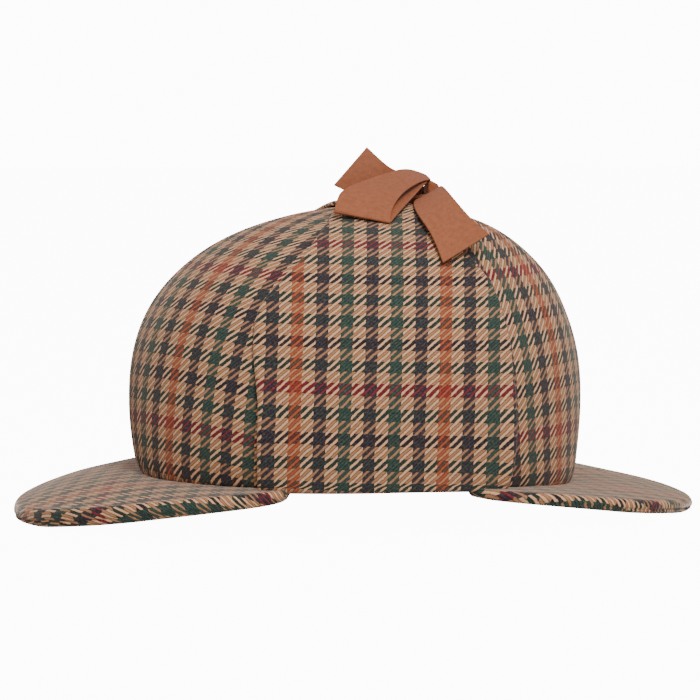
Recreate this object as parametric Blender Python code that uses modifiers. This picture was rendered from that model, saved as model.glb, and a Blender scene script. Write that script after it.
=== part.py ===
"""Deerstalker hat: a gored cloth crown, a front and a back peak, and two ear flaps
turned up over the crown and tied on top with a ribbon bow.

Frame: metres, +Z up, the front peak towards -Y, the wearer's left towards +X.
The hat stands on the outer edges of its two peaks, on the plane z = 0.
"""

import math

import bmesh
import bpy
from mathutils import Matrix, Vector

MM = 0.001

# Head opening and crown
HEAD_LENGTH = 205 * MM
HEAD_WIDTH = 163 * MM
CROWN_WALL = 2.4 * MM
CROWN_HEIGHT = 124.5 * MM
SWELL = 3.6 * MM
SWELL_HEIGHT = 33.5 * MM
TOP_SET_BACK = 10.5 * MM
FRONT_RIM_HEIGHT = 20 * MM
BACK_RIM_HEIGHT = 12.2 * MM
SIDE_RIM_HEIGHT = 20 * MM
CROWN_ROUNDNESS = 2.3
SET_BACK_CURVE = 3.5

# Peaks
FRONT_PEAK_REACH = 57.8 * MM
BACK_PEAK_REACH = 57.8 * MM
PEAK_END_REACH = 3.5 * MM
FRONT_PEAK_THICKNESS = 9 * MM
BACK_PEAK_THICKNESS = 6.8 * MM
PEAK_END_THICKNESS = 3 * MM
PEAK_EDGE_ROUND = 3.6 * MM
PEAK_SETTLE = 3.2 * MM
PEAK_HALF_ANGLE = math.radians(66)
PEAK_PLAN_CURVE = 0.75
PEAK_DROP_CURVE = 2.8
PEAK_SLOPE_CURVE = 1.8
PEAK_THICKNESS_CURVE = 0.35

# Ear flaps
FLAP_THICKNESS = 3 * MM
FLAP_WIDTH = 114 * MM
FLAP_SHOULDER_HEIGHT = 79 * MM
FLAP_TIP_WIDTH = 30 * MM
FLAP_TIP_GAP = 14 * MM
FLAP_TIP_SET_BACK = 5 * MM
FLAP_SET_BACK = 3 * MM
FLAP_OVERLAP = 11 * MM
FLAP_EDGE_ROUND = 1.1 * MM
FLAP_END_CLEARANCE = math.radians(1.5)

# Ribbon bow
RIBBON_WIDTH = 26 * MM
RIBBON_THICKNESS = 1 * MM
KNOT_SET_BACK = 26.5 * MM
KNOT_WIDTH = 12 * MM
KNOT_LENGTH = 6 * MM
KNOT_ROUND = 2 * MM

# Cloth layers that touch on the real hat stay this far apart
GAP = 0.3 * MM

# How finely the curved surfaces are divided
FOLD_COLUMNS = 3
WALL_COLUMNS = 9
LOWER_ROWS = 3
UPPER_ROWS = 9
PEAK_SECTIONS = 26
PEAK_STEPS = 5
EDGE_STEPS = 4
RIBBON_SMOOTHING = 2
HEIGHT_ROUNDS = 60
SHARP_ANGLE = math.radians(50)

# The bow's ribbons, as the places of their two long edges in rows along each ribbon. Each edge
# is given across and along the hat from the knot, and as a rise over the ear flaps' outer face,
# all as shares of the ribbon's width.
# near edge: across, along, rise; other edge: across, along, rise
LEFT_LOOP_ROWS = (
    (-0.12, -0.16, 0.22, 0.19, -0.16, 0.34),
    (-0.05, -0.40, 0.16, 0.54, -0.25, 0.28),
    (0.35, -0.85, 0.12, 1.08, -0.53, 0.18),
    (0.85, -1.35, 0.10, 1.62, -0.85, 0.13),
    (1.40, -1.85, 0.10, 1.88, -1.05, 0.07),
    (1.66, -2.04, 0.15, 1.94, -1.10, 0.06),
    (1.69, -2.05, 0.24, 1.92, -1.09, 0.11),
    (1.54, -1.97, 0.36, 1.77, -1.05, 0.15),
    (1.31, -1.87, 0.40, 1.54, -0.97, 0.15),
    (0.88, -1.44, 0.40, 1.35, -0.85, 0.22),
    (0.42, -0.95, 0.45, 1.04, -0.67, 0.27),
    (0.12, -0.58, 0.55, 0.69, -0.44, 0.35),
    (-0.15, -0.30, 0.54, 0.35, -0.27, 0.41),
    (-0.12, -0.16, 0.47, 0.23, -0.16, 0.42),
)
RIGHT_LOOP_ROWS = (
    (-0.27, -0.05, 0.12, -0.27, 0.11, 0.12),
    (-0.60, -0.25, 0.08, -0.62, 0.35, 0.08),
    (-1.05, -0.30, 0.07, -1.05, 0.58, 0.07),
    (-1.50, -0.36, 0.07, -1.50, 0.58, 0.07),
    (-1.84, -0.38, 0.10, -1.84, 0.58, 0.10),
    (-1.92, -0.38, 0.20, -1.92, 0.58, 0.18),
    (-1.80, -0.38, 0.30, -1.80, 0.56, 0.26),
    (-1.40, -0.34, 0.34, -1.40, 0.55, 0.28),
    (-0.95, -0.28, 0.33, -0.95, 0.50, 0.26),
    (-0.55, -0.18, 0.30, -0.55, 0.30, 0.26),
    (-0.27, -0.05, 0.26, -0.27, 0.11, 0.26),
)
LEFT_TAIL_ROWS = (
    (0.27, -0.08, 0.10, 0.27, 0.08, 0.26),
    (0.70, -0.35, 0.08, 0.42, 0.10, 0.34),
    (1.15, -0.58, 0.09, 0.77, 0.12, 0.33),
    (1.92, -0.57, 0.19, 1.23, 0.16, 0.32),
    (2.23, -0.44, 0.23, 1.54, 0.30, 0.27),
    (2.54, -0.35, 0.26, 1.92, 0.40, 0.38),
    (2.73, -0.30, 0.32, 2.38, 0.58, 0.77),
)
RIGHT_TAIL_ROWS = (
    (-0.46, -1.09, 0.96, -0.62, -1.74, 0.29),
    (-0.46, -0.86, 0.73, -0.62, -1.48, 0.11),
    (-0.38, -0.63, 0.52, -0.80, -1.00, 0.11),
    (-0.33, -0.34, 0.47, -0.72, -0.60, 0.22),
    (-0.27, -0.12, 0.43, -0.27, -0.04, 0.35),
)
LEAD_ROWS = (
    (0.254, -1.35, -0.055, 0.254, -0.60, -0.055),
    (0.17, -0.72, -0.02, 0.25, -0.42, 0.00),
    (0.05, -0.16, 0.10, 0.21, -0.16, 0.10),
)
# how far the knot's underside and top stand over the flaps' outer face
KNOT_RISES = (0.07, 0.43)

# Worked out from the sizes above
HALF_LENGTH = HEAD_LENGTH / 2 + CROWN_WALL
HALF_WIDTH = HEAD_WIDTH / 2 + CROWN_WALL
SWELL_LEVEL = SIDE_RIM_HEIGHT + SWELL_HEIGHT
UPPER_HEIGHT = CROWN_HEIGHT - SWELL_HEIGHT
WALL_LEAN = SWELL / SWELL_HEIGHT * math.pi / 2
FLAP_HALF_ANGLE = math.pi / 2 - PEAK_HALF_ANGLE - FLAP_END_CLEARANCE
PART_NAME = "deerstalker_hat"


def clear_scene():
    for item in list(bpy.data.objects):
        bpy.data.objects.remove(item, do_unlink=True)


def make_collection(name):
    collection = bpy.data.collections.new(name)
    bpy.context.scene.collection.children.link(collection)
    return collection


def make_material(name, colour, roughness):
    material = bpy.data.materials.new(name)
    material.use_nodes = True
    shader = material.node_tree.nodes["Principled BSDF"]
    shader.inputs["Base Color"].default_value = (*colour, 1.0)
    shader.inputs["Roughness"].default_value = roughness
    material.diffuse_color = (*colour, 1.0)
    return material


def finish_object(name, bm, collection, material):
    """Turn a bmesh into a smooth-shaded object of its own."""
    mesh = bpy.data.meshes.new(name)
    bm.to_mesh(mesh)
    bm.free()
    mesh.materials.append(material)
    mesh.shade_smooth()
    mesh.set_sharp_from_angle(angle=SHARP_ANGLE)
    item = bpy.data.objects.new(name, mesh)
    collection.objects.link(item)
    return item


def rim_height(turn):
    """Height of the crown's lower edge: highest over the ears, lower in front and behind."""
    end_height = BACK_RIM_HEIGHT if math.sin(turn) > 0 else FRONT_RIM_HEIGHT
    return end_height + (SIDE_RIM_HEIGHT - end_height) * math.cos(turn) ** 2


def crown_point(turn, stage):
    """A point of the crown's outer face.

    turn goes round from the wearer's left towards the back. stage is -1 at the rim,
    0 where the crown is widest and 1 at the top.
    """
    if stage <= 0:
        grown = SWELL * math.sin((1 + stage) * math.pi / 2)
        half_length, half_width = HALF_LENGTH + grown, HALF_WIDTH + grown
        height = SWELL_LEVEL + (SWELL_LEVEL - rim_height(turn)) * stage
        back = 0.0
    else:
        reach = math.cos(stage * math.pi / 2) ** (2 / CROWN_ROUNDNESS)
        rise = math.sin(stage * math.pi / 2) ** (2 / CROWN_ROUNDNESS)
        half_length = (HALF_LENGTH + SWELL) * reach
        half_width = (HALF_WIDTH + SWELL) * reach
        height = SWELL_LEVEL + UPPER_HEIGHT * rise
        back = TOP_SET_BACK * rise ** SET_BACK_CURVE
    return Vector((half_width * math.cos(turn), back + half_length * math.sin(turn), height))


def ring_turns():
    """Directions of the crown's columns, with one on each end of the flaps' folds."""
    quarter = [FLAP_HALF_ANGLE * step / FOLD_COLUMNS for step in range(FOLD_COLUMNS + 1)]
    first = FLAP_HALF_ANGLE + FLAP_END_CLEARANCE / 2
    stride = (math.pi / 2 - first) / WALL_COLUMNS
    quarter += [first + stride * step for step in range(WALL_COLUMNS)]
    turns = quarter + [math.pi - turn for turn in reversed(quarter[1:] + [math.pi / 2])]
    return turns + [turn + math.pi for turn in turns]


def crown_surface():
    """The crown's outer face as an open dome, in rings from the rim to the top."""
    bm = bmesh.new()
    turns = ring_turns()
    stages = [-1 + step / LOWER_ROWS for step in range(LOWER_ROWS)]
    stages += [step / UPPER_ROWS for step in range(UPPER_ROWS)]
    rings = [[bm.verts.new(crown_point(turn, stage)) for turn in turns] for stage in stages]
    top = bm.verts.new(crown_point(0.0, 1.0))
    for lower, upper in zip(rings, rings[1:]):
        for index in range(len(turns)):
            after = (index + 1) % len(turns)
            bm.faces.new((lower[index], lower[after], upper[after], upper[index]))
    for index in range(len(turns)):
        bm.faces.new((rings[-1][index], rings[-1][(index + 1) % len(turns)], top))
    bm.normal_update()
    return bm, rings


def cut_away(bm, point, outward, fill):
    """Remove what lies beyond a plane, and close the cut when fill is set."""
    whole = bm.verts[:] + bm.edges[:] + bm.faces[:]
    bmesh.ops.bisect_plane(bm, geom=whole, dist=1e-7, plane_co=point, plane_no=outward, clear_outer=True)
    if fill:
        open_edges = [edge for edge in bm.edges if edge.is_boundary]
        bmesh.ops.edgeloop_fill(bm, edges=open_edges)


def upright_plane(start, end, keep):
    """A point and an outward normal of the upright plane through two plan points.

    keep is a plan point on the side that stays.
    """
    along = Vector((end[0] - start[0], end[1] - start[1], 0.0)).normalized()
    outward = Vector((along.y, -along.x, 0.0))
    point = Vector((start[0], start[1], 0.0))
    if outward.dot(Vector((keep[0], keep[1], 0.0)) - point) > 0:
        outward = -outward
    return point, outward


def rim_plan_point(along):
    """The plan point of the rim, on the wearer's left, at a given distance towards the back."""
    return HALF_WIDTH * math.sqrt(1 - (along / HALF_LENGTH) ** 2), along


def make_gore(name, cuts, collection, material):
    """One gore of the crown: the whole crown shell cut back to its seams."""
    bm = crown_surface()[0]
    bmesh.ops.solidify(bm, geom=bm.faces[:], thickness=CROWN_WALL)
    for start, end, keep in cuts:
        point, outward = upright_plane(start, end, keep)
        cut_away(bm, point - outward * GAP / 2, outward, fill=True)
    bmesh.ops.recalc_face_normals(bm, faces=bm.faces[:])
    return finish_object(name, bm, collection, material)


def make_crown(collection, material):
    """Six gores: one over each ear, two in front and two behind, meeting at the top."""
    top = (0.0, TOP_SET_BACK)
    seam_half = FLAP_WIDTH / 2 - FLAP_OVERLAP
    front_seam = rim_plan_point(FLAP_SET_BACK - seam_half)
    back_seam = rim_plan_point(FLAP_SET_BACK + seam_half)
    for side, side_name in ((1, "left"), (-1, "right")):
        front_rim = (side * front_seam[0], front_seam[1])
        back_rim = (side * back_seam[0], back_seam[1])
        ear = (side * HALF_WIDTH, FLAP_SET_BACK)
        front = (side * front_seam[0], -HALF_LENGTH)
        back = (side * back_seam[0], HALF_LENGTH)
        ear_cuts = [(top, front_rim, ear), (top, back_rim, ear)]
        front_cuts = [(top, front_rim, front), (top, (0.0, -HALF_LENGTH), front)]
        back_cuts = [(top, back_rim, back), (top, (0.0, HALF_LENGTH), back)]
        make_gore("crown_" + side_name, ear_cuts, collection, material)
        make_gore("crown_front_" + side_name, front_cuts, collection, material)
        make_gore("crown_back_" + side_name, back_cuts, collection, material)


def peak_section(angle, end, full_reach, full_thickness):
    """The closed outline of a peak's cross-section at an angle from the middle of the peak.

    end is -1 for the front peak and 1 for the back peak.
    """
    turn = end * math.pi / 2 - angle
    share = max(math.cos(angle / PEAK_HALF_ANGLE * math.pi / 2), 0.0) ** PEAK_PLAN_CURVE
    reach = PEAK_END_REACH + (full_reach - PEAK_END_REACH) * share
    seat_at_middle = rim_height(end * math.pi / 2) - GAP
    drop = (seat_at_middle - full_thickness + PEAK_SETTLE) * share ** PEAK_DROP_CURVE
    start = Vector((HALF_WIDTH * math.cos(turn), HALF_LENGTH * math.sin(turn), 0.0))
    outward = Vector((math.cos(turn) / HALF_WIDTH, math.sin(turn) / HALF_LENGTH, 0.0))
    outward.normalize()
    seat = rim_height(turn) - GAP

    def top_at(out):
        return seat - drop * (max(out, 0.0) / reach) ** PEAK_SLOPE_CURVE

    fullness = share ** PEAK_THICKNESS_CURVE
    thickness = PEAK_END_THICKNESS + (full_thickness - PEAK_END_THICKNESS) * fullness
    edge_round = min(PEAK_EDGE_ROUND, (reach + CROWN_WALL) / 2)
    flat_end = reach - edge_round
    span = flat_end + CROWN_WALL
    steps = [flat_end - span * (step / PEAK_STEPS) ** 2 for step in range(PEAK_STEPS, -1, -1)]
    outline = [(out, top_at(out)) for out in steps]
    for step in range(1, EDGE_STEPS):
        roll = math.pi * step / EDGE_STEPS
        out = flat_end + edge_round * math.sin(roll)
        height = top_at(flat_end) - thickness / 2 * (1 - math.cos(roll))
        outline.append((out, height))
    outline += [(out, top_at(out) - thickness) for out in reversed(steps)]
    return [start + outward * out + Vector((0.0, 0.0, max(height, 0.0))) for out, height in outline]


def make_peak(name, end, full_reach, full_thickness, collection, material):
    """A stiffened crescent of cloth, lofted through its cross-sections from end to end."""
    bm = bmesh.new()
    loops = []
    for step in range(PEAK_SECTIONS + 1):
        angle = PEAK_HALF_ANGLE * (2 * step / PEAK_SECTIONS - 1)
        section = peak_section(angle, end, full_reach, full_thickness)
        loops.append([bm.verts.new(point) for point in section])
    for before, after in zip(loops, loops[1:]):
        for index in range(len(before)):
            following = (index + 1) % len(before)
            bm.faces.new((before[index], before[following], after[following], after[index]))
    bm.faces.new(loops[0])
    bm.faces.new(loops[-1])
    bmesh.ops.recalc_face_normals(bm, faces=bm.faces[:])
    return finish_object(name, bm, collection, material)


def make_flap(name, side, collection, material):
    """An ear flap, folded up at the rim and lying over the crown up to the bow.

    side is 1 for the wearer's left and -1 for the right.
    """
    bm, rings = crown_surface()
    for vertex in bm.verts:
        vertex.co += vertex.normal * GAP
    fold = []
    for vertex, turn in zip(rings[0], ring_turns()):
        if abs(math.sin(turn)) < math.sin(FLAP_HALF_ANGLE + FLAP_END_CLEARANCE / 4):
            vertex.co.z = rim_height(turn) - GAP
            fold.append(vertex)
        else:
            vertex.co.z = rim_height(turn) + GAP + FLAP_THICKNESS * WALL_LEAN
    fold_edges = [edge for edge in bm.edges if edge.is_boundary and set(edge.verts) <= set(fold)]
    tucked = bmesh.ops.extrude_edge_only(bm, edges=fold_edges)["geom"]
    for vertex in (item for item in tucked if isinstance(item, bmesh.types.BMVert)):
        outward = Vector((vertex.co.x / HALF_WIDTH ** 2, vertex.co.y / HALF_LENGTH ** 2, 0.0))
        vertex.co -= outward.normalized() * CROWN_WALL
    shoulder_level = SIDE_RIM_HEIGHT + FLAP_SHOULDER_HEIGHT
    tip_level = SIDE_RIM_HEIGHT + CROWN_HEIGHT
    for sign in (-1, 1):
        edge_along = FLAP_SET_BACK + sign * FLAP_WIDTH / 2
        tip_along = FLAP_SET_BACK + FLAP_TIP_SET_BACK + sign * FLAP_TIP_WIDTH / 2
        shoulder = Vector((0.0, edge_along, shoulder_level))
        taper = Vector((0.0, sign * (tip_level - shoulder_level), sign * (edge_along - tip_along)))
        cut_away(bm, shoulder, Vector((0.0, sign, 0.0)), fill=False)
        cut_away(bm, shoulder, taper.normalized(), fill=False)
    cut_away(bm, Vector((FLAP_TIP_GAP / 2, 0.0, 0.0)), Vector((-1.0, 0.0, 0.0)), fill=False)
    if side < 0:
        bmesh.ops.scale(bm, vec=(-1.0, 1.0, 1.0), verts=bm.verts[:])
        bmesh.ops.reverse_faces(bm, faces=bm.faces[:])
    item = finish_object(name, bm, collection, material)
    wall = item.modifiers.new("cloth thickness", "SOLIDIFY")
    wall.thickness = FLAP_THICKNESS
    wall.offset = 1.0
    wall.use_even_offset = True
    edge = item.modifiers.new("soft edges", "BEVEL")
    edge.width = FLAP_EDGE_ROUND
    edge.segments = 2
    edge.limit_method = "ANGLE"
    edge.angle_limit = SHARP_ANGLE
    return item


def cover_height(across, along):
    """Height of the ear flaps' outer face over a plan point near the top of the crown."""
    rise = 1.0
    for _ in range(HEIGHT_ROUNDS):
        back = TOP_SET_BACK * rise ** SET_BACK_CURVE
        reach = math.hypot(across / (HALF_WIDTH + SWELL), (along - back) / (HALF_LENGTH + SWELL))
        found = max(1 - reach ** CROWN_ROUNDNESS, 0.0) ** (1 / CROWN_ROUNDNESS)
        rise = (rise + found) / 2
    return SWELL_LEVEL + UPPER_HEIGHT * rise + GAP + FLAP_THICKNESS


def ribbon_point(across, along, rise):
    """A point of a ribbon's edge, from its shares of the ribbon's width."""
    place_across = across * RIBBON_WIDTH
    place_along = TOP_SET_BACK + KNOT_SET_BACK + along * RIBBON_WIDTH
    height = cover_height(place_across, place_along) + rise * RIBBON_WIDTH
    return Vector((place_across, place_along, height))


def make_ribbon(name, rows, side, collection, material):
    """A flat ribbon through the rows of a table. side is -1 for the mirror image."""
    bm = bmesh.new()
    pairs = []
    for row in rows:
        near = ribbon_point(side * row[0], row[1], row[2])
        other = ribbon_point(side * row[3], row[4], row[5])
        pairs.append((bm.verts.new(near), bm.verts.new(other)))
    for before, after in zip(pairs, pairs[1:]):
        bm.faces.new((before[0], before[1], after[1], after[0]))
    item = finish_object(name, bm, collection, material)
    curve = item.modifiers.new("smooth folds", "SUBSURF")
    curve.levels = RIBBON_SMOOTHING
    curve.render_levels = RIBBON_SMOOTHING
    curve.boundary_smooth = "PRESERVE_CORNERS"
    wall = item.modifiers.new("ribbon thickness", "SOLIDIFY")
    wall.thickness = RIBBON_THICKNESS
    wall.offset = 0.0
    return item


def make_knot(name, collection, material):
    """The bow's knot, a rounded block over the middle of the crown."""
    low, high = (share * RIBBON_WIDTH for share in KNOT_RISES)
    along = TOP_SET_BACK + KNOT_SET_BACK
    height = cover_height(0.0, along) + (low + high) / 2
    bpy.ops.mesh.primitive_cube_add(size=1.0, location=(0.0, along, height))
    item = bpy.context.object
    item.name = name
    item.data.name = name
    item.data.transform(Matrix.Diagonal((KNOT_WIDTH, KNOT_LENGTH, high - low, 1.0)))
    item.data.materials.append(material)
    for owner in list(item.users_collection):
        owner.objects.unlink(item)
    collection.objects.link(item)
    corners = item.modifiers.new("soft corners", "BEVEL")
    corners.width = KNOT_ROUND
    corners.segments = 2
    return item


def main():
    clear_scene()
    hat = make_collection(PART_NAME)
    crown_cloth = make_material("crown_tweed", (0.30, 0.20, 0.13), 0.9)
    peak_cloth = make_material("peak_tweed", (0.28, 0.19, 0.13), 0.9)
    flap_cloth = make_material("flap_tweed", (0.33, 0.22, 0.14), 0.9)
    ribbon = make_material("grosgrain_ribbon", (0.38, 0.16, 0.09), 0.6)
    make_crown(hat, crown_cloth)
    make_peak("front_peak", -1, FRONT_PEAK_REACH, FRONT_PEAK_THICKNESS, hat, peak_cloth)
    make_peak("back_peak", 1, BACK_PEAK_REACH, BACK_PEAK_THICKNESS, hat, peak_cloth)
    make_flap("left_ear_flap", 1, hat, flap_cloth)
    make_flap("right_ear_flap", -1, hat, flap_cloth)
    make_knot("bow_knot", hat, ribbon)
    make_ribbon("bow_left_loop", LEFT_LOOP_ROWS, 1, hat, ribbon)
    make_ribbon("bow_right_loop", RIGHT_LOOP_ROWS, 1, hat, ribbon)
    make_ribbon("bow_left_tail", LEFT_TAIL_ROWS, 1, hat, ribbon)
    make_ribbon("bow_right_tail", RIGHT_TAIL_ROWS, 1, hat, ribbon)
    make_ribbon("left_ribbon_lead", LEAD_ROWS, 1, hat, ribbon)
    make_ribbon("right_ribbon_lead", LEAD_ROWS, -1, hat, ribbon)


main()
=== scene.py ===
# %% [markdown]
# A deerstalker is a country hat of wool tweed. It has a domed crown of six gores, a stiff peak
# in front and another behind, and two ear flaps that are turned up here and tied on top with a
# ribbon bow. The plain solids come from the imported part. This lesson dresses each of them: it
# rebuilds every piece of cloth as a fine mesh that carries its own cloth measure as a UV map,
# so that one woven material can follow the cut of each panel.

import math

import bmesh
import bpy
import numpy as np
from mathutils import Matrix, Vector, noise


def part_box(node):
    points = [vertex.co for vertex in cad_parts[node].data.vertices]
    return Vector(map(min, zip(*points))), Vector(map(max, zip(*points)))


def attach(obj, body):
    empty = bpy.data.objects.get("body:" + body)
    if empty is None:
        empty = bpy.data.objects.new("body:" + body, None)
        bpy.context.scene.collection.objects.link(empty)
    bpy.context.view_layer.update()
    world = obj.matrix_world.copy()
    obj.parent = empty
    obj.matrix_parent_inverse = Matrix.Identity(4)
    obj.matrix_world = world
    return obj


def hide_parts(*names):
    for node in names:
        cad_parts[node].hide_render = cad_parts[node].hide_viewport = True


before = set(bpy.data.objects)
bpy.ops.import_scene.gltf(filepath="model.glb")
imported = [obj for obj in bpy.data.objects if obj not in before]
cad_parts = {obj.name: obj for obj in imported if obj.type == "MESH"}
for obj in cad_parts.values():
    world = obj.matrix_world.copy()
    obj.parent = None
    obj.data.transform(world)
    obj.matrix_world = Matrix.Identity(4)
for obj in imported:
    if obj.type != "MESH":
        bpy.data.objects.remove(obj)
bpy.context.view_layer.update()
print("nodes to dress:", len(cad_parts))

# %% [markdown]
# The crown is an oval dome. Its rings swell a little above the rim, then close towards the top,
# which sits slightly behind the middle. One formula gives any point of it, so the gores and the
# flaps that lie on them all follow one surface.

# %% The crown's surface
MM = 0.001
HALF_LENGTH = 104.9 * MM
HALF_WIDTH = 83.9 * MM
SWELL = 3.6 * MM
SWELL_LEVEL = 53.5 * MM
UPPER_HEIGHT = 91 * MM
TOP_SET_BACK = 10.5 * MM
FRONT_RIM = 20 * MM
BACK_RIM = 12.2 * MM
SIDE_RIM = 20 * MM
ROUNDNESS = 2.3


def rim_height(turn):
    end = BACK_RIM if math.sin(turn) > 0 else FRONT_RIM
    return end + (SIDE_RIM - end) * math.cos(turn) ** 2


def crown_shape(turn, stage):
    """A point of the outer face: stage is -1 at the rim, 0 at the widest ring and 1 on top."""
    if stage <= 0:
        grown = SWELL * math.sin((1 + stage) * math.pi / 2)
        half_length, half_width = HALF_LENGTH + grown, HALF_WIDTH + grown
        height = SWELL_LEVEL + (SWELL_LEVEL - rim_height(turn)) * stage
        back = 0.0
    else:
        reach = math.cos(stage * math.pi / 2) ** (2 / ROUNDNESS)
        rise = math.sin(stage * math.pi / 2) ** (2 / ROUNDNESS)
        half_length = (HALF_LENGTH + SWELL) * reach
        half_width = (HALF_WIDTH + SWELL) * reach
        height = SWELL_LEVEL + UPPER_HEIGHT * rise
        back = TOP_SET_BACK * rise ** 3.5
    return Vector((half_width * math.cos(turn), back + half_length * math.sin(turn), height))


def crown_point(turn, stage, lift=0.0):
    """The same point, raised off the face along its normal."""
    stage = min(stage, 0.999)
    around = crown_shape(turn + 0.01, stage) - crown_shape(turn - 0.01, stage)
    upward = crown_shape(turn, stage + 0.001) - crown_shape(turn, stage - 0.001)
    return crown_shape(turn, stage) + around.cross(upward).normalized() * lift


def meridian(turn):
    """Stages up the crown along one direction, and the length of cloth from the rim to each."""
    stages = np.linspace(-1.0, 1.0, 401)
    points = [crown_shape(turn, stage) for stage in stages]
    steps = [(after - before).length for before, after in zip(points, points[1:])]
    return stages, np.concatenate(([0.0], np.cumsum(steps)))


side_stages, side_lengths = meridian(0.0)
print("cloth from rim to top over the ear:", round(side_lengths[-1] / MM), "mm")

# %% [markdown]
# Every panel starts as a flat grid, as a pattern piece starts as flat cloth. While it is still
# flat, each corner is given its place in the cloth as a UV, in millimetres. Then each vertex
# moves to its place on the hat. The UVs stay behind, and the weave follows the panel.

# %% A flat grid that becomes a panel
def cloth_panel(columns, rows, place, cloth):
    bm = bmesh.new()
    bmesh.ops.create_grid(bm, x_segments=columns, y_segments=rows, size=0.5)
    layer = bm.loops.layers.uv.new("cloth")
    spots = {vertex: (vertex.co.x + 0.5, vertex.co.y + 0.5) for vertex in bm.verts}
    for face in bm.faces:
        for loop in face.loops:
            loop[layer].uv = cloth(*spots[loop.vert])
    for vertex, spot in spots.items():
        vertex.co = place(*spot)
    return bm


def finish_piece(name, bm, material, slot, *nodes):
    """Make the bmesh an object that rides on the hat in place of its CAD nodes."""
    mesh = bpy.data.meshes.new(name)
    bm.to_mesh(mesh)
    bm.free()
    mesh.materials.append(material)
    mesh.shade_smooth()
    piece = bpy.data.objects.new(name, mesh)
    bpy.context.scene.collection.objects.link(piece)
    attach(piece, "root")
    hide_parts(*nodes)
    print(name, "has", len(mesh.polygons), "faces before its modifiers")
    return piece


def flat_size(bm):
    """Width, height and area of a panel's flat pattern, in metres, from its cloth measure."""
    layer = bm.loops.layers.uv["cloth"]
    spots = np.array([loop[layer].uv[:] for face in bm.faces for loop in face.loops])
    area = 0.0
    for face in bm.faces:
        corners = [loop[layer].uv for loop in face.loops]
        area += abs(sum(one.cross(two) for one, two in zip(corners, corners[1:] + corners[:1]))) / 2
    width, height = (spots.max(axis=0) - spots.min(axis=0)) * MM
    print("flat pattern:", round(width / MM), "x", round(height / MM), "mm,", round(area / 100), "cm2")
    return float(width), float(height), area * MM * MM


def give_wall(piece, thickness, offset, levels):
    """Give a sheet its thickness, and round the cut edges with a subdivision."""
    wall = piece.modifiers.new("cloth thickness", "SOLIDIFY")
    wall.thickness = thickness
    wall.offset = offset
    wall.use_even_offset = True
    soften = piece.modifiers.new("soft edges", "SUBSURF")
    soften.levels = levels
    soften.render_levels = levels


def ripple(point, size, depth):
    """A soft unevenness that hand-sewn cloth has, the same each run."""
    return noise.noise(point / size) * depth


# %% [markdown]
# The cloth is a 2/2 twill in a gun club check. Six light threads and six dark ones take turns in
# both directions, and the dark stripes change colour by a fixed order. In a 2/2 twill each thread
# passes over two and under two, one step further in each row, so the threads that are on top join
# in slanted lines. The shader counts threads from the UVs, which gives their colours, and finds
# the slanted lines from the difference of the two counts.

# %% Colours and the node helper
THREAD = 0.9                    # millimetres from thread to thread
STRIPE = 6                      # threads in one stripe
CHECK = 2 * STRIPE * THREAD     # a light and a dark stripe
FIRST_DARK = 0.75 * CHECK       # the middle of the first dark stripe, orange or red
print("the check repeats every", round(CHECK, 1), "mm")


def linear(code):
    """Linear colour from an sRGB hex code."""
    shares = [int(code[place:place + 2], 16) / 255 for place in (1, 3, 5)]
    curved = [c / 12.92 if c <= 0.04045 else ((c + 0.055) / 1.055) ** 2.4 for c in shares]
    return (*curved, 1.0)


def add(tree, kind, inputs=None, **settings):
    """Add a node with its settings. An input is a value, or a socket to link from. A Map Range
    takes what it reads as 0, its range as 1 and 2, and the range that it gives as 3 and 4. A Mix
    takes its share as 0 and its two colours as 6 and 7."""
    node = tree.nodes.new(kind)
    for key, value in settings.items():
        setattr(node, key, value)
    for key, value in (inputs or {}).items():
        if isinstance(value, bpy.types.NodeSocket):
            tree.links.new(value, node.inputs[key])
        else:
            node.inputs[key].default_value = value
    return node


CREAM, CAMEL = "#dba982", "#dc9c70"
NAVY, GREEN, ORANGE, RED = "#332e35", "#31473f", "#a44e32", "#982234"
FLUFF = "#a08c7c"               # loose fibres of all the yarns together
HAZE = "#f0e0d2"                # light that the fibres catch
WARP = [CREAM, ORANGE, CREAM, NAVY, CREAM, GREEN, CREAM, NAVY, CREAM, GREEN, CREAM, NAVY]
WEFT = [CAMEL, RED, CAMEL, GREEN, CAMEL, NAVY, CAMEL, GREEN, CAMEL, GREEN, CAMEL, NAVY, CAMEL, GREEN]
print("stripes in the warp and the weft:", len(WARP), len(WEFT))


def stripes(tree, count, colours):
    """A colour ramp without blending that turns a thread count into the yarn's colour."""
    repeat = len(colours) * STRIPE
    share = add(tree, "ShaderNodeMath", {0: count, 1: 1 / repeat}, operation="MULTIPLY")
    middle = add(tree, "ShaderNodeMath", {0: share.outputs[0], 1: 0.5 / repeat}, operation="ADD")
    around = add(tree, "ShaderNodeMath", {0: middle.outputs[0]}, operation="FRACT")
    ramp = add(tree, "ShaderNodeValToRGB", {0: around.outputs[0]})
    ramp.color_ramp.interpolation = "CONSTANT"
    for place in range(2, len(colours)):
        ramp.color_ramp.elements.new(place / len(colours))
    for place, colour in enumerate(colours):
        ramp.color_ramp.elements[place].position = place / len(colours)
        ramp.color_ramp.elements[place].color = linear(colour)
    return ramp.outputs["Color"]


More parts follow.
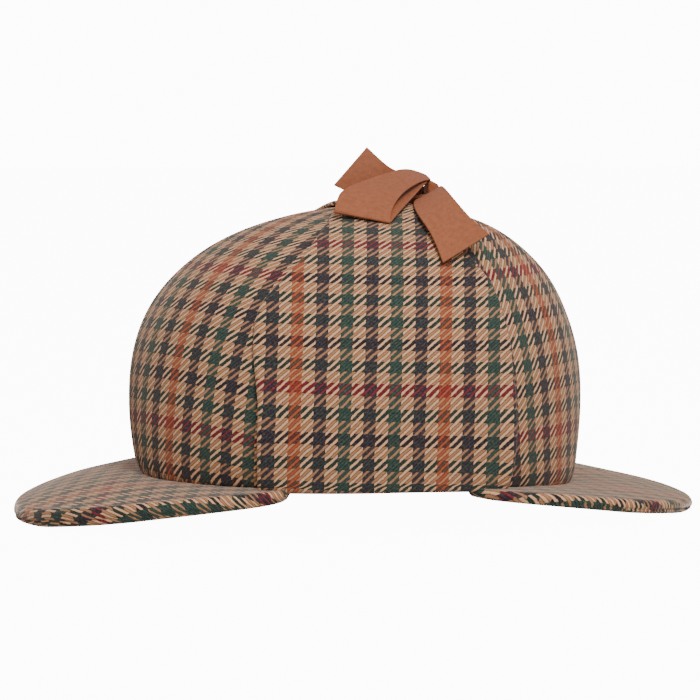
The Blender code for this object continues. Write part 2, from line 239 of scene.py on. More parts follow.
# %% Wool tweed, woven as a 2/2 twill
def make_tweed(name, haze, spread):
    """haze is how much light the loose fibres catch, and spread how widely they scatter it."""
    material = bpy.data.materials.new(name)
    material.use_nodes = True
    tree = material.node_tree
    shader = tree.nodes["Principled BSDF"]
    measure = add(tree, "ShaderNodeUVMap", uv_map="cloth").outputs["UV"]
    swayed = measure
    for scale, reach in ((0.12, 1.1), (1.1, 0.55)):
        sway = add(tree, "ShaderNodeTexNoise", {"Vector": measure, "Scale": scale, "Detail": 2.0})
        centred = add(tree, "ShaderNodeVectorMath", {0: sway.outputs["Color"], 1: (0.5, 0.5, 0.5)},
                      operation="SUBTRACT")
        moved = add(tree, "ShaderNodeVectorMath", {0: centred.outputs[0], 1: (reach, reach, 0.0), 2: swayed},
                    operation="MULTIPLY_ADD")
        swayed = moved.outputs[0]
    threads = add(tree, "ShaderNodeVectorMath", {0: swayed, "Scale": 1 / THREAD}, operation="SCALE")
    number = add(tree, "ShaderNodeVectorMath", {0: threads.outputs[0]}, operation="FLOOR")
    count = add(tree, "ShaderNodeSeparateXYZ", {0: number.outputs[0]})
    exact = add(tree, "ShaderNodeSeparateXYZ", {0: threads.outputs[0]})
    warp = stripes(tree, count.outputs["X"], WARP)
    weft = stripes(tree, count.outputs["Y"], WEFT)

    # one slanted line of warp and one of weft to every four threads
    slant = add(tree, "ShaderNodeMath", {0: exact.outputs["X"], 1: exact.outputs["Y"]},
                operation="SUBTRACT")
    quarter = add(tree, "ShaderNodeMath", {0: slant.outputs[0], 1: 0.25}, operation="MULTIPLY")
    line = add(tree, "ShaderNodeMath", {0: quarter.outputs[0]}, operation="FRACT")
    over = add(tree, "ShaderNodeMath", {0: line.outputs[0], 1: 0.47}, operation="LESS_THAN")
    # painted shade darkens the weft beside a thick light warp, and a dark warp's fibres half cover it
    bright = add(tree, "ShaderNodeRGBToBW", {0: warp})
    weft_painted_shade = add(tree, "ShaderNodeMapRange", {0: bright.outputs[0], 1: 0.05, 2: 0.2, 3: 0.9, 4: 0.55})
    shaded = add(tree, "ShaderNodeVectorMath", {0: weft, "Scale": weft_painted_shade.outputs[0]}, operation="SCALE")
    cover = add(tree, "ShaderNodeMapRange", {0: bright.outputs[0], 1: 0.05, 2: 0.2, 3: 0.5, 4: 0.0})
    covered = add(tree, "ShaderNodeMix", {0: cover.outputs[0], 6: shaded.outputs[0], 7: warp},
                  data_type="RGBA")
    woven = add(tree, "ShaderNodeMix", {0: over.outputs[0], 6: covered.outputs[2], 7: warp},
                data_type="RGBA")
    swing = add(tree, "ShaderNodeMath", {0: line.outputs[0], 1: 2 * math.pi}, operation="MULTIPLY")
    wave = add(tree, "ShaderNodeMath", {0: swing.outputs[0]}, operation="SINE")
    crest = add(tree, "ShaderNodeMath", {0: wave.outputs[0]}, operation="ABSOLUTE")

    # painted shade: the weft is darkened because it lies lower, and the grooves between the lines are
    # darkened
    low = add(tree, "ShaderNodeMapRange", {0: over.outputs[0], 3: 0.26, 4: 0.3})
    depth = add(tree, "ShaderNodeMapRange",
                {0: crest.outputs[0], 1: 0.05, 2: 0.75, 3: low.outputs[0], 4: 1.0})
    fibre = add(tree, "ShaderNodeTexNoise", {"Vector": measure, "Scale": 1.6, "Detail": 4.0})
    fleck = add(tree, "ShaderNodeMapRange", {0: fibre.outputs["Fac"], 1: 0.3, 2: 0.7, 3: 0.78, 4: 1.18})
    # painted groove shade times a random fleck of tone
    painted_shade_and_tone = add(tree, "ShaderNodeMath", {0: depth.outputs[0], 1: fleck.outputs[0]}, operation="MULTIPLY")
    yarn = add(tree, "ShaderNodeVectorMath", {0: woven.outputs[2], "Scale": painted_shade_and_tone.outputs[0]},
               operation="SCALE")
    tufts = add(tree, "ShaderNodeTexNoise",
                {"Vector": measure, "Scale": 0.9, "Detail": 3.0, "Roughness": 0.7})
    tuft = add(tree, "ShaderNodeMapRange", {0: tufts.outputs["Fac"], 1: 0.48, 2: 0.72, 3: 0.0, 4: 0.2})
    cloth = add(tree, "ShaderNodeMix", {0: tuft.outputs[0], 6: yarn.outputs[0], 7: linear(FLUFF)},
                data_type="RGBA")
    tree.links.new(cloth.outputs[2], shader.inputs["Base Color"])

    fuzz = add(tree, "ShaderNodeMath", {0: fibre.outputs["Fac"], 1: 1.2, 2: crest.outputs[0]},
               operation="MULTIPLY_ADD")
    bump = add(tree, "ShaderNodeBump", {"Height": fuzz.outputs[0], "Strength": 0.6, "Distance": 0.2 * MM})
    tree.links.new(bump.outputs["Normal"], shader.inputs["Normal"])
    shader.inputs["Roughness"].default_value = 0.95
    shader.inputs["Specular IOR Level"].default_value = 0.1
    shader.inputs["Sheen Weight"].default_value = haze
    shader.inputs["Sheen Roughness"].default_value = spread
    shader.inputs["Sheen Tint"].default_value = linear(HAZE)
    return material


tweed = make_tweed("wool tweed, gun club check", 0.2, 0.5)
# a peak's upper side is brushed, so its loose fibres catch more of the light
brushed_tweed = make_tweed("wool tweed, gun club check, brushed", 1.0, 0.3)
print("nodes in each tweed:", len(tweed.node_tree.nodes), len(brushed_tweed.node_tree.nodes))

# %% [markdown]
# A gore is a tall leaf of cloth. Its two seams lie in upright planes that meet on top of the
# crown, so its width falls to nothing there. Its outermost column of points goes on under the
# next gore, as the turned seam does, so that no light comes through. The gore's centre line runs
# straight up, and the weave nearly keeps to it.

# %% The crown's six gores
SEAM_HALF = 46 * MM
SEAM_MIDDLE = 3 * MM
SEAM_SINK, SEAM_WIDTH = 0.7 * MM, 1.6 * MM
SEAM_LAP, LAP_SINK = 1.1 * MM, 0.6 * MM
GORE_WALL = 2.0 * MM
GORE_INSET = 0.1 * MM
# the cloth is drawn in where it is sewn to a peak, and its lowest row goes on behind the peak
TUCK_DEPTH, TUCK_HEIGHT, RIM_DROP = 2.0 * MM, 6 * MM, 1.6 * MM
# a shallow hollow low down beside the flap's front edge
HOLLOW_DEPTH, HOLLOW_WIDTH = 1.8 * MM, 7 * MM
HOLLOW_LEVEL, HOLLOW_HEIGHT = 20 * MM, 22 * MM


def rim_heading(along):
    """Direction from the top's middle to the rim over the wearer's left, seen from above."""
    across = HALF_WIDTH * math.sqrt(1 - (along / HALF_LENGTH) ** 2)
    return math.atan2(along - TOP_SET_BACK, across)


def seam_turn(stage, heading):
    """Where a ring of the crown meets the seam plane with this heading."""
    low, high = -math.pi / 2, math.pi / 2
    for _ in range(30):
        middle = (low + high) / 2
        point = crown_shape(middle, min(stage, 0.99))
        if math.atan2(point.y - TOP_SET_BACK, point.x) < heading:
            low = middle
        else:
            high = middle
    return (low + high) / 2


FRONT_HEADING = rim_heading(SEAM_MIDDLE - SEAM_HALF)
BACK_HEADING = rim_heading(SEAM_MIDDLE + SEAM_HALF)
GORE_ROWS = 56
GORE_COLUMNS = 28
GORE_MIDDLE = 27                # millimetres from the red stripe up to the gore's middle
# stripe is how far an orange stripe runs from the gore's centre line and band how far up its red
# one is, in millimetres. The gores in front and behind are not cut quite straight: slope and bend
# tell how the rows of the weave rise towards the seam behind, lean and curl how the columns run
# forward on the way down, and draw how close together the iron has left the rows.
GORE_CUTS = {
    # stripe, band, slope, bend, lean, curl, draw
    "front": (0.6, 27.6, 0.0724, 0.00163, 0.069, 0.0014, 0.975),
    "side": (0.0, 28.0, 0.0, 0.0, 0.0, 0.0, 1.0),
    "back": (-9.6, 27.1, -0.03, 0.001, -0.02, -0.0027, 0.97),
}


def make_gore(name, first, last, side, cut):
    """A gore between two headings, side 1 for the wearer's left and -1 for the right. cut is a
    row of GORE_CUTS."""
    stripe, band, slope, bend, lean, curl, draw = GORE_CUTS[cut]
    centre = (seam_turn(0.0, first) + seam_turn(0.0, last)) / 2
    stages, lengths = meridian(centre)
    length_rows = np.linspace(0.0, lengths[-1], GORE_ROWS + 1)
    row_stages = np.interp(length_rows, lengths, stages)
    ends = [(seam_turn(stage, first), seam_turn(stage, last)) for stage in row_stages]

    def spot(s, t):
        row = round(t * GORE_ROWS)
        across = s if side > 0 else 1 - s
        low, high = ends[row]
        return row, low + (high - low) * across, across

    def place(s, t):
        row, turn, across = spot(s, t)
        stage = row_stages[row]
        low, high = ends[row]
        width = (crown_shape(high, stage) - crown_shape(low, stage)).length
        seam = min(across, 1 - across) * width
        sink = GORE_INSET + SEAM_SINK * math.exp(-(seam / SEAM_WIDTH) ** 2)
        sink += TUCK_DEPTH * max(1 - length_rows[row] / TUCK_HEIGHT, 0.0) ** 2
        if cut == "front":
            low_down = math.exp(-((length_rows[row] - HOLLOW_LEVEL) / HOLLOW_HEIGHT) ** 2)
            sink += HOLLOW_DEPTH * low_down * math.exp(-((1 - across) * width / HOLLOW_WIDTH) ** 2)
        if seam == 0 and width > 6 * SEAM_LAP:
            turn += (turn - (low + high) / 2) * 2 * SEAM_LAP / width
            sink += LAP_SINK
        point = crown_point(turn, stage, ripple(crown_point(turn, stage), 0.03, 0.5 * MM) - sink)
        if row == 0:
            point.z -= RIM_DROP
        return Vector((point.x * side, point.y, point.z))

    def cloth(s, t):
        row, turn, _ = spot(s, t)
        stage = row_stages[row]
        middle = (ends[row][0] + ends[row][1]) / 2
        steps = np.linspace(middle, turn, 9)
        points = [crown_shape(step, stage) for step in steps]
        run = sum((after - before).length for before, after in zip(points, points[1:])) / MM
        run = run if turn > middle else -run
        rise = length_rows[row] / MM + slope * run + bend * run * run
        up = rise - band - GORE_MIDDLE
        sideways = run - stripe - lean * up + curl * up * up
        return side * sideways + FIRST_DARK, (rise - band) * draw + FIRST_DARK

    bm = cloth_panel(GORE_COLUMNS, GORE_ROWS, place, cloth)
    bmesh.ops.remove_doubles(bm, verts=bm.verts[:], dist=0.05 * MM)
    width, height, area = flat_size(bm)
    piece = finish_piece(name + "_cloth", bm, tweed, "crown_tweed", name)
    give_wall(piece, GORE_WALL, -1.0, 1)


for side, name in ((1, "left"), (-1, "right")):
    make_gore("crown_front_" + name, -math.pi / 2, FRONT_HEADING, side,
              "front")
    make_gore("crown_" + name, FRONT_HEADING, BACK_HEADING, side,
              "side")
    make_gore("crown_back_" + name, BACK_HEADING, math.pi / 2, side,
              "back")

# %% [markdown]
# An ear flap is two layers of tweed, sewn round and turned out, so its edges curl under towards
# the crown. It starts under the rim, folds up over it and lies on the crown as far as the bow.
# Its sides run straight up to a shoulder and then draw in to a narrow tip. A short table gives
# the two edges at a few heights, and the grid's rows are spread between them.

# %% The two ear flaps
FLAP_WALL = 1.6 * MM
FLAP_LIFT = 2.5 * MM
EDGE_ROLL = 1.7 * MM
FOLD_RADIUS = 2.6 * MM
FOLD_RISE = 1.2 * MM
FOLD_TUCK = 1.2 * MM            # how far the first row turns in under the fold
FOLD_STEP = 0.6                 # millimetres of cloth in one row of the fold
TIP_ACROSS = 7.2 * MM
# the edges stand off the crown, most at LOOSE_LEVEL in millimetres over the ground
EDGE_LOOSE = 3 * MM
LOOSE_LEVEL, LOOSE_HEIGHT, LOOSE_FADE = 40, 25, 12
# the weave: how its columns lean, draw in and bow, and how its rows close up and sink
GRAIN_LEAN, COLUMN_DRAW, COLUMN_BOW, COLUMN_SHIFT = 0.055, 0.0135, 0.0006, 0.65
ROWS_UPPER, ROWS_LOWER, ROW_SINK, ROW_SHIFT = 1.1, 0.98, 0.044, 0.9
FLAP_MIDDLE_BACK, FLAP_MIDDLE_UP = 24, 10
# height over the ground, front edge, back edge, in millimetres
FLAP_EDGES = np.array((
    (15.0, -54.0, 56.0), (32.0, -54.0, 59.0), (58.0, -54.0, 60.0), (70.0, -55.3, 59.4),
    (83.5, -56.2, 58.6), (94.0, -54.8, 56.4), (101.5, -51.8, 54.9), (109.0, -44.5, 51.8),
    (115.0, -38.8, 47.6), (120.6, -32.4, 43.4), (130.0, -24.0, 35.0), (138.0, -16.4, 28.0),
    (144.5, -8.5, 22.0),
))
FOLD_ROWS = 8
FLAP_ROWS = 68
FLAP_COLUMNS = 56
EDGE_COLUMNS = 4


def flap_spot(s, stage, beyond=0.0):
    """The turn at which a flap's row, s of the way from front to back, lies at this stage, and
    its distance along the hat. beyond is how far out it lies past the nearer edge."""
    height = crown_shape(0.0, stage).z / MM
    front, back = (np.interp(height, FLAP_EDGES[:, 0], FLAP_EDGES[:, edge]) * MM for edge in (1, 2))
    front, back = front + EDGE_ROLL, back - EDGE_ROLL
    along = front + (back - front) * s + (beyond if s > 0.5 else -beyond)
    centre = crown_shape(0.0, stage).y
    length = crown_shape(math.pi / 2, stage).y - centre
    return math.asin(max(-1.0, min(1.0, (along - centre) / length))), along


def tip_stage(s):
    """How far up the crown a flap goes: nearly to the middle of the hat."""
    low, high = 0.5, 1.0
    for _ in range(30):
        middle = (low + high) / 2
        turn = flap_spot(s, middle)[0]
        if crown_shape(turn, middle).x > TIP_ACROSS:
            low = middle
        else:
            high = middle
    return low


def make_flap(name, side, stripe, band):
    """A flap, with an orange stripe at stripe behind the ear and a red one at band up the cloth.

    The iron has drawn the upper half in, so its rows are a tenth closer there. The grain leans
    back a little, the rows sink towards the back and the columns bow at the flap's ends. The
    flat size comes back with the piece.
    """
    ups = [tip_stage(column / FLAP_COLUMNS) for column in range(FLAP_COLUMNS + 1)]
    columns = FLAP_COLUMNS + 2 * EDGE_COLUMNS
    rows = FOLD_ROWS + FLAP_ROWS

    def spot(s, t):
        column = round((s if side > 0 else 1 - s) * columns) - EDGE_COLUMNS
        inner = min(max(column, 0), FLAP_COLUMNS)
        roll = abs(column - inner) / EDGE_COLUMNS * math.pi / 2
        row = round(t * rows)
        if row <= FOLD_ROWS:
            return row, inner / FLAP_COLUMNS, roll, -1.0
        top = np.interp(ups[inner], side_stages, side_lengths)
        share = (row - FOLD_ROWS) / FLAP_ROWS
        return row, inner / FLAP_COLUMNS, roll, float(np.interp(top * share, side_lengths, side_stages))

    def place(s, t):
        row, across, roll, stage = spot(s, t)
        turn = flap_spot(across, stage, EDGE_ROLL * math.sin(roll))[0]
        depth = EDGE_ROLL * (1 - math.cos(roll))
        flat = crown_point(turn, stage)
        edge = min(across, 1 - across)
        level = math.exp(-((flat.z / MM - LOOSE_LEVEL) / LOOSE_HEIGHT) ** 2)
        loose = EDGE_LOOSE * math.exp(-edge * LOOSE_FADE) * level
        lift = FLAP_LIFT + loose - depth + ripple(flat + Vector((3, 0, 0)), 0.035, 0.35 * MM)
        point = crown_point(turn, stage, lift)
        if row < FOLD_ROWS:
            swing = math.pi / 2 * max(row - 1, 0) / (FOLD_ROWS - 1)
            tuck = FOLD_TUCK if row == 0 else 0.0
            outward = crown_point(turn, -1.0, 1 * MM) - crown_point(turn, -1.0)
            outward.z = 0.0
            outward.normalize()
            radius = FOLD_RADIUS - depth
            point = crown_shape(turn, -1.0)
            point += outward * (FLAP_LIFT + loose - FOLD_RADIUS - tuck + radius * math.sin(swing))
            point.z = rim_height(turn) + FOLD_RISE - radius * math.cos(swing)
        elif row == FOLD_ROWS:
            point.z = rim_height(turn) + FOLD_RISE
        return Vector((point.x * side, point.y, point.z))

    def cloth(s, t):
        row, across, roll, stage = spot(s, t)
        along = flap_spot(across, stage, EDGE_ROLL * roll)[1]
        fold = min(row - FOLD_ROWS, 0) * FOLD_STEP
        length = float(np.interp(stage, side_stages, side_lengths))
        up = length / MM + fold - band
        sideways = along / MM - stripe - GRAIN_LEAN * up
        off = sideways + FLAP_MIDDLE_BACK
        bow = COLUMN_BOW * (off * off + (up - FLAP_MIDDLE_UP) ** 2)
        sideways += COLUMN_SHIFT - COLUMN_DRAW * off - bow
        rows_up = up * (ROWS_UPPER if up > 0 else ROWS_LOWER) + ROW_SHIFT + ROW_SINK * off
        return side * sideways + FIRST_DARK, rows_up + FIRST_DARK

    bm = cloth_panel(columns, rows, place, cloth)
    cut = flat_size(bm)
    piece = finish_piece(name + "_cloth", bm, tweed, "flap_tweed", name)
    give_wall(piece, FLAP_WALL, 0.0, 1)
    return piece, cut


left_flap, left_cut = make_flap("left_ear_flap", side=1, stripe=26.2, band=45.6)
right_flap, right_cut = make_flap("right_ear_flap", side=-1, stripe=26.2, band=45.6)

# %% [markdown]
# Each peak is card between two layers of tweed. The upper layer rolls over the edge and meets
# the lower one in a seam a few millimetres above the ground. The peak is a loft: one closed
# cross-section is worked out for each direction and the grid is wrapped through all of them.

# %% The two peaks
PEAK_REACH = 57.8 * MM
PEAK_END_REACH = 3.5 * MM
PEAK_END_THICKNESS = 3 * MM
PEAK_EDGE_ROUND = 3.6 * MM
PEAK_SETTLE = 3.2 * MM
PEAK_HALF_ANGLE = math.radians(66)
SEAM_ROLL, SEAM_ROLL_WIDTH = 0.64 * math.pi, 0.13
PEAK_SEAM_DEPTH = 0.9 * MM
CROWN_WALL = 2.4 * MM
INNER_REACH = 5.4 * MM
GAP = 0.3 * MM
PEAK_COLUMNS = 150
TOP_STEPS = 22
ROLL_STEPS = 22


def peak_section(angle, end, full_thickness):
    """Closed cross-section: distance out and height of each of its points."""
    turn = end * math.pi / 2 - angle
    share = max(math.cos(angle / PEAK_HALF_ANGLE * math.pi / 2), 0.0) ** 0.75
    reach = PEAK_END_REACH + (PEAK_REACH - PEAK_END_REACH) * share
    drop = (rim_height(end * math.pi / 2) - GAP - full_thickness + PEAK_SETTLE) * share ** 2.8
    seat = rim_height(turn) - GAP
    thickness = PEAK_END_THICKNESS + (full_thickness - PEAK_END_THICKNESS) * share ** 0.35
    edge_round = min(PEAK_EDGE_ROUND, (reach + CROWN_WALL) / 2)
    flat_end = reach - edge_round
    outs = np.linspace(-INNER_REACH, flat_end, TOP_STEPS + 1)
    tops = [seat - drop * (max(out, 0.0) / reach) ** 1.8 for out in outs]
    section = list(zip(outs, tops))
    for step in range(1, ROLL_STEPS):
        roll = math.pi * step / ROLL_STEPS
        seam = PEAK_SEAM_DEPTH * share * math.exp(-((roll - SEAM_ROLL) / SEAM_ROLL_WIDTH) ** 2)
        out = flat_end + edge_round * math.sin(roll) ** 0.8 - seam
        section.append((out, tops[-1] - thickness / 2 * (1 - math.cos(roll))))
    section += [(out, top - thickness) for out, top in reversed(section[:TOP_STEPS + 1])]
    section.append(section[0])
    return [(out, max(height, 0.02 * MM)) for out, height in section]


def make_peak(name, end, full_thickness, grain, band):
    """A peak whose weave is turned by grain, with its red stripe at band behind the middle. end
    is -1 in front and 1 behind."""
    rows = 2 * (TOP_STEPS + 1) + ROLL_STEPS - 1
    frames = []
    for column in range(PEAK_COLUMNS + 1):
        angle = PEAK_HALF_ANGLE * (2 * column / PEAK_COLUMNS - 1)
        turn = end * math.pi / 2 - angle
        start = Vector((HALF_WIDTH * math.cos(turn), HALF_LENGTH * math.sin(turn), 0.0))
        outward = Vector((math.cos(turn) / HALF_WIDTH, math.sin(turn) / HALF_LENGTH, 0.0)).normalized()
        section = peak_section(angle, end, full_thickness)
        lengths = [0.0]
        for before, after in zip(section, section[1:]):
            lengths.append(lengths[-1] + math.dist(before, after))
        frames.append((start, outward, section, lengths))

    def place(s, t):
        start, outward, section, _ = frames[round(s * PEAK_COLUMNS)]
        out, height = section[round(t * rows)]
        point = start + outward * out + Vector((0.0, 0.0, height))
        if height > 1 * MM:
            point.z += ripple(point, 0.025, 0.3 * MM)
        return point

    def cloth(s, t):
        start, outward, _, lengths = frames[round(s * PEAK_COLUMNS)]
        flat = start + outward * (lengths[round(t * rows)] - INNER_REACH)
        along = flat.x * math.cos(grain) + flat.y * math.sin(grain)
        across = flat.y * math.cos(grain) - flat.x * math.sin(grain)
        return along / MM + FIRST_DARK, across / MM - band + FIRST_DARK

    bm = cloth_panel(PEAK_COLUMNS, rows, place, cloth)
    bmesh.ops.remove_doubles(bm, verts=bm.verts[:], dist=0.00001)
    ends = [edge for edge in bm.edges if edge.is_boundary]
    bmesh.ops.holes_fill(bm, edges=ends, sides=0)
    bmesh.ops.recalc_face_normals(bm, faces=bm.faces[:])
    piece = finish_piece(name + "_cloth", bm, brushed_tweed, "peak_tweed", name)


make_peak("front_peak", end=-1, full_thickness=9 * MM, grain=math.radians(-12.7), band=-109.6)
make_peak("back_peak", end=1, full_thickness=6.8 * MM, grain=math.radians(12), band=112.1)

# %% [markdown]
# The bow is tied from grosgrain, a ribbon with round ribs from edge to edge. Each ribbon is a
# strip: a table gives its two long edges in rows along it, and a subdivision surface turns the
# rows into smooth folds. Everything is a share of the ribbon's width, measured from the knot
# and from the face of the flaps below.

# %% The ribbon's paths
RIBBON_WIDTH = 26 * MM
RIBBON_WALL = 0.7 * MM
RIBBON_COLUMNS = 4
RIB = 0.9                       # millimetres from rib to rib
KNOT_ALONG = 37 * MM
COVER = 3.3 * MM                # from the crown's face to the flaps' outer face
# near edge: across, along, rise; other edge: across, along, rise
LEFT_LOOP = (
    (-0.12, -0.10, 0.37, 0.19, -0.10, 0.36),
    (-0.05, -0.40, 0.34, 0.54, -0.25, 0.31),
    (0.35, -0.85, 0.12, 1.08, -0.53, 0.18),
    (0.85, -1.35, 0.10, 1.62, -0.85, 0.13),
    (1.40, -1.85, 0.10, 1.88, -1.05, 0.07),
    (1.66, -2.04, 0.15, 1.94, -1.10, 0.06),
    (1.69, -2.05, 0.24, 1.92, -1.09, 0.11),
    (1.54, -1.97, 0.36, 1.77, -1.05, 0.15),
    (1.31, -1.87, 0.40, 1.54, -0.97, 0.15),
    (0.88, -1.44, 0.40, 1.35, -0.85, 0.22),
    (0.42, -0.95, 0.45, 1.04, -0.67, 0.27),
    (0.12, -0.58, 0.55, 0.69, -0.40, 0.34),
    (-0.15, -0.30, 0.54, 0.38, -0.20, 0.38),
    (-0.12, -0.08, 0.47, 0.25, -0.06, 0.40),
)
RIGHT_LOOP = (
    (-0.27, -0.05, 0.12, -0.27, 0.11, 0.12),
    (-0.60, -0.25, 0.08, -0.62, 0.35, 0.08),
    (-1.05, -0.30, 0.07, -1.05, 0.58, 0.07),
    (-1.50, -0.36, 0.07, -1.50, 0.58, 0.07),
    (-1.84, -0.38, 0.10, -1.84, 0.58, 0.10),
    (-1.92, -0.38, 0.20, -1.92, 0.58, 0.18),
    (-1.80, -0.38, 0.30, -1.80, 0.56, 0.26),
    (-1.40, -0.34, 0.34, -1.40, 0.55, 0.28),
    (-0.95, -0.28, 0.33, -0.95, 0.50, 0.26),
    (-0.55, -0.18, 0.30, -0.55, 0.30, 0.26),
    (-0.27, -0.05, 0.26, -0.27, 0.11, 0.26),
)
LEFT_TAIL = (
    (0.27, -0.08, 0.10, 0.27, 0.08, 0.26),
    (0.70, -0.35, 0.08, 0.42, 0.10, 0.34),
    (1.15, -0.58, 0.09, 0.77, 0.12, 0.33),
    (1.92, -0.57, 0.19, 1.23, 0.16, 0.32),
    (2.23, -0.44, 0.23, 1.54, 0.30, 0.27),
    (2.54, -0.35, 0.26, 1.92, 0.40, 0.38),
    (2.73, -0.30, 0.32, 2.38, 0.58, 0.77),
)
RIGHT_TAIL = (
    (-0.70, -1.09, 0.98, -0.50, -1.74, 0.29),
    (-0.64, -0.86, 0.75, -0.52, -1.48, 0.13),
    (-0.50, -0.63, 0.53, -0.66, -1.00, 0.11),
    (-0.33, -0.34, 0.47, -0.72, -0.60, 0.22),
    (-0.27, -0.12, 0.43, -0.27, -0.04, 0.35),
)
LEAD = (
    (0.254, -1.35, -0.055, 0.254, -0.60, -0.055),
    (0.17, -0.72, -0.02, 0.25, -0.42, 0.00),
    (0.05, -0.16, 0.10, 0.21, -0.16, 0.10),
)


def cover_height(across, along):
    """Height of the flaps' outer face over a plan point near the top."""
    rise = 1.0
    for _ in range(60):
        back = TOP_SET_BACK * rise ** 3.5
        reach = math.hypot(across / (HALF_WIDTH + SWELL), (along - back) / (HALF_LENGTH + SWELL))
        rise = (rise + max(1 - reach ** ROUNDNESS, 0.0) ** (1 / ROUNDNESS)) / 2
    return SWELL_LEVEL + UPPER_HEIGHT * rise + COVER


def ribbon_point(across, along, rise):
    x, y = across * RIBBON_WIDTH, KNOT_ALONG + along * RIBBON_WIDTH
    return Vector((x, y, cover_height(x, y) + rise * RIBBON_WIDTH))


# %% Grosgrain ribbon
TERRACOTTA_DARK, TERRACOTTA_LIGHT = "#8e4d2c", "#9a5734"


def make_grosgrain(name):
    material = bpy.data.materials.new(name)
    material.use_nodes = True
    tree = material.node_tree
    shader = tree.nodes["Principled BSDF"]
    measure = add(tree, "ShaderNodeUVMap", uv_map="cloth").outputs["UV"]
    place = add(tree, "ShaderNodeSeparateXYZ", {0: measure})
    ribs = add(tree, "ShaderNodeMath", {0: place.outputs["Y"], 1: 2 * math.pi / RIB}, operation="MULTIPLY")
    crest = add(tree, "ShaderNodeMath", {0: ribs.outputs[0]}, operation="SINE")
    grain = add(tree, "ShaderNodeTexNoise", {"Vector": measure, "Scale": 0.35, "Detail": 4.0})
    fine = add(tree, "ShaderNodeTexNoise", {"Vector": measure, "Scale": 5.0, "Detail": 2.0})
    tone = add(tree, "ShaderNodeMapRange", {0: grain.outputs["Fac"], 1: 0.35, 2: 0.65, 3: 0.0, 4: 1.0})
    cloth = add(tree, "ShaderNodeMix",
                {0: tone.outputs[0], 6: linear(TERRACOTTA_DARK), 7: linear(TERRACOTTA_LIGHT)},
                data_type="RGBA")
    # painted shade darkens the colour in the grooves between the ribs
    painted_rib_shade = add(tree, "ShaderNodeMapRange", {0: crest.outputs[0], 1: -1.0, 2: 0.2, 3: 0.9, 4: 1.0})
    painted_shade_and_tone = add(tree, "ShaderNodeVectorMath", {0: cloth.outputs[2], "Scale": painted_rib_shade.outputs[0]},
                operation="SCALE")
    tree.links.new(painted_shade_and_tone.outputs[0], shader.inputs["Base Color"])
    height = add(tree, "ShaderNodeMath", {0: fine.outputs["Fac"], 1: 0.4, 2: crest.outputs[0]},
                 operation="MULTIPLY_ADD")
    bump = add(tree, "ShaderNodeBump", {"Height": height.outputs[0], "Strength": 0.4, "Distance": 0.08 * MM})
    tree.links.new(bump.outputs["Normal"], shader.inputs["Normal"])
    shader.inputs["Roughness"].default_value = 0.6
    shader.inputs["Specular IOR Level"].default_value = 0.3
    shader.inputs["Sheen Weight"].default_value = 0.05
    shader.inputs["Sheen Roughness"].default_value = 0.4
    return material


grosgrain = make_grosgrain("grosgrain ribbon, terracotta")


# %% The bow's loops, tails and leads
def make_ribbon(name, table, side=1):
    """A ribbon along a table."""
    pairs = [(ribbon_point(side * row[0], row[1], row[2]), ribbon_point(side * row[3], row[4], row[5]))
             for row in table]
    middles = [(near + other) / 2 for near, other in pairs]
    runs = [0.0]
    for before, after in zip(middles, middles[1:]):
        runs.append(runs[-1] + (after - before).length / MM)

    def place(s, t):
        near, other = pairs[round(t * (len(pairs) - 1))]
        return near.lerp(other, s)

    def cloth(s, t):
        return s * RIBBON_WIDTH / MM, runs[round(t * (len(pairs) - 1))]

    bm = cloth_panel(RIBBON_COLUMNS, len(pairs) - 1, place, cloth)
    bmesh.ops.reverse_faces(bm, faces=bm.faces[:])
    piece = finish_piece(name + "_ribbon", bm, grosgrain, "grosgrain_ribbon", name)
    curve = piece.modifiers.new("smooth folds", "SUBSURF")
    curve.levels = curve.render_levels = 4
    curve.boundary_smooth = "PRESERVE_CORNERS"
    wall = piece.modifiers.new("ribbon thickness", "SOLIDIFY")
    wall.thickness = RIBBON_WALL
    wall.offset = 0.0
    print(name, "is", round(runs[-1]), "mm long")
    return piece


make_ribbon("bow_left_loop", LEFT_LOOP)
make_ribbon("bow_right_loop", RIGHT_LOOP)
make_ribbon("bow_left_tail", LEFT_TAIL)
make_ribbon("bow_right_tail", RIGHT_TAIL)
left_lead = make_ribbon("left_ribbon_lead", LEAD)
right_lead = make_ribbon("right_ribbon_lead", LEAD, side=-1)

# %% [markdown]
# The knot is the ribbon's last turn round the middle of the bow. It starts as a block, gets
# rounded edges and is pinched at its waist, with creases that run the way the ribbon turns. Its
# top slopes down behind.

# %% The knot
def make_knot():
    low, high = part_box("bow_knot")
    middle, size = (low + high) / 2, high - low
    bm = bmesh.new()
    bmesh.ops.create_cube(bm, size=1.0)
    bmesh.ops.scale(bm, vec=size, verts=bm.verts[:])
    bmesh.ops.bevel(bm, geom=bm.edges[:], affect="EDGES", offset=1.8 * MM, segments=3,
                    profile=0.5, material=-1)
    bmesh.ops.subdivide_edges(bm, edges=bm.edges[:], cuts=3, use_grid_fill=True)
    for vertex in bm.verts:
        share = vertex.co.x / size.x * 2
        crease = 0.25 * MM * math.sin(vertex.co.x / MM * 2.2 + vertex.co.z / MM * 0.4)
        vertex.co.y *= 0.86 + 0.14 * share * share
        vertex.co.z -= 0.35 * max(vertex.co.z, 0.0) * (1 + vertex.co.y / size.y * 2)
        vertex.co.z += crease * (1 if vertex.co.z > 0 else 0)
    bmesh.ops.translate(bm, vec=middle, verts=bm.verts[:])
    layer = bm.loops.layers.uv.new("cloth")
    for face in bm.faces:
        for loop in face.loops:
            point = loop.vert.co
            loop[layer].uv = (point.x / MM, (point.y + point.z) / MM)
    finish_piece("bow_knot_ribbon", bm, grosgrain, "grosgrain_ribbon", "bow_knot")


make_knot()

# %% [markdown]
# The hat stands on grey paper in soft light, as in a small photo studio. The paper is one large
# disc. The light comes from an even sky all round and from two wide panels. The camera alone sees
# the paper and the sky glow, which makes them white in the picture and lights nothing.

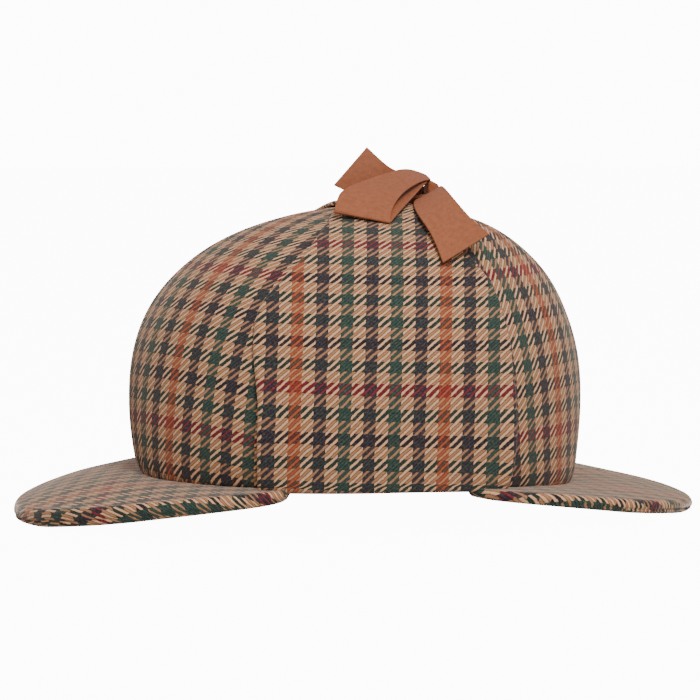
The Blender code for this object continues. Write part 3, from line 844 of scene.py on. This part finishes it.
# %% Floor, light and camera
PAPER_GREY = "#b4b2af"
PAPER_GLOW = 12.0
SKY = 0.6


def make_floor():
    bm = bmesh.new()
    bmesh.ops.create_circle(bm, cap_ends=True, segments=96, radius=30.0)
    mesh = bpy.data.meshes.new("floor")
    bm.to_mesh(mesh)
    bm.free()
    floor = bpy.data.objects.new("floor", mesh)
    bpy.context.scene.collection.objects.link(floor)
    material = bpy.data.materials.new("grey paper")
    material.use_nodes = True
    shader = material.node_tree.nodes["Principled BSDF"]
    shader.inputs["Base Color"].default_value = linear(PAPER_GREY)
    shader.inputs["Roughness"].default_value = 0.9
    seen = add(material.node_tree, "ShaderNodeLightPath").outputs["Is Camera Ray"]
    glow = add(material.node_tree, "ShaderNodeMath", {0: seen, 1: PAPER_GLOW}, operation="MULTIPLY")
    shader.inputs["Emission Color"].default_value = (1.0, 1.0, 1.0, 1.0)
    material.node_tree.links.new(glow.outputs[0], shader.inputs["Emission Strength"])
    mesh.materials.append(material)


def add_panel(name, place, target, width, power):
    data = bpy.data.lights.new(name, "AREA")
    data.shape = "DISK"
    data.size = width
    data.energy = power
    lamp = bpy.data.objects.new(name, data)
    lamp.location = place
    lamp.rotation_euler = (Vector(target) - Vector(place)).to_track_quat("-Z", "Y").to_euler()
    bpy.context.scene.collection.objects.link(lamp)


make_floor()
world = bpy.data.worlds.new("studio sky")
world.use_nodes = True
seen = add(world.node_tree, "ShaderNodeLightPath").outputs["Is Camera Ray"]
strength = add(world.node_tree, "ShaderNodeMath", {0: seen, 1: PAPER_GLOW, 2: SKY}, operation="MULTIPLY_ADD")
background = world.node_tree.nodes["Background"]
background.inputs["Color"].default_value = (1.0, 1.0, 1.0, 1.0)
world.node_tree.links.new(strength.outputs[0], background.inputs["Strength"])
bpy.context.scene.world = world
add_panel("near panel", place=(1.5, 0.1, 1.1), target=(0.0, 0.0, 0.08), width=0.6, power=26.0)
add_panel("top panel", place=(0.1, 0.4, 1.6), target=(0.0, 0.0, 0.08), width=1.0, power=6.0)

AZIMUTH, ELEVATION, ROLL = math.radians(81.5), math.radians(4.5), math.radians(-0.25)
DISTANCE = 1.2
VIEW_WIDTH = 334.1 * MM         # of the picture, at the hat's middle
rightward = Vector((math.cos(AZIMUTH), math.sin(AZIMUTH), 0.0))
target = rightward * -2.6 * MM + Vector((0.0, 0.0, 75.6 * MM))
backward = Vector((math.sin(AZIMUTH) * math.cos(ELEVATION), -math.cos(AZIMUTH) * math.cos(ELEVATION),
                   math.sin(ELEVATION)))
lens = bpy.data.cameras.new("camera")
lens.lens = lens.sensor_width * DISTANCE / VIEW_WIDTH
camera = bpy.data.objects.new("camera", lens)
camera.location = target + backward * DISTANCE
camera.rotation_euler = (-backward).to_track_quat("-Z", "Y").to_euler()
camera.rotation_euler.rotate_axis("Z", ROLL)
bpy.context.scene.collection.objects.link(camera)
bpy.context.scene.camera = camera
print("camera at", [round(value, 3) for value in camera.location])

# %% Finish
bpy.context.view_layer.update()
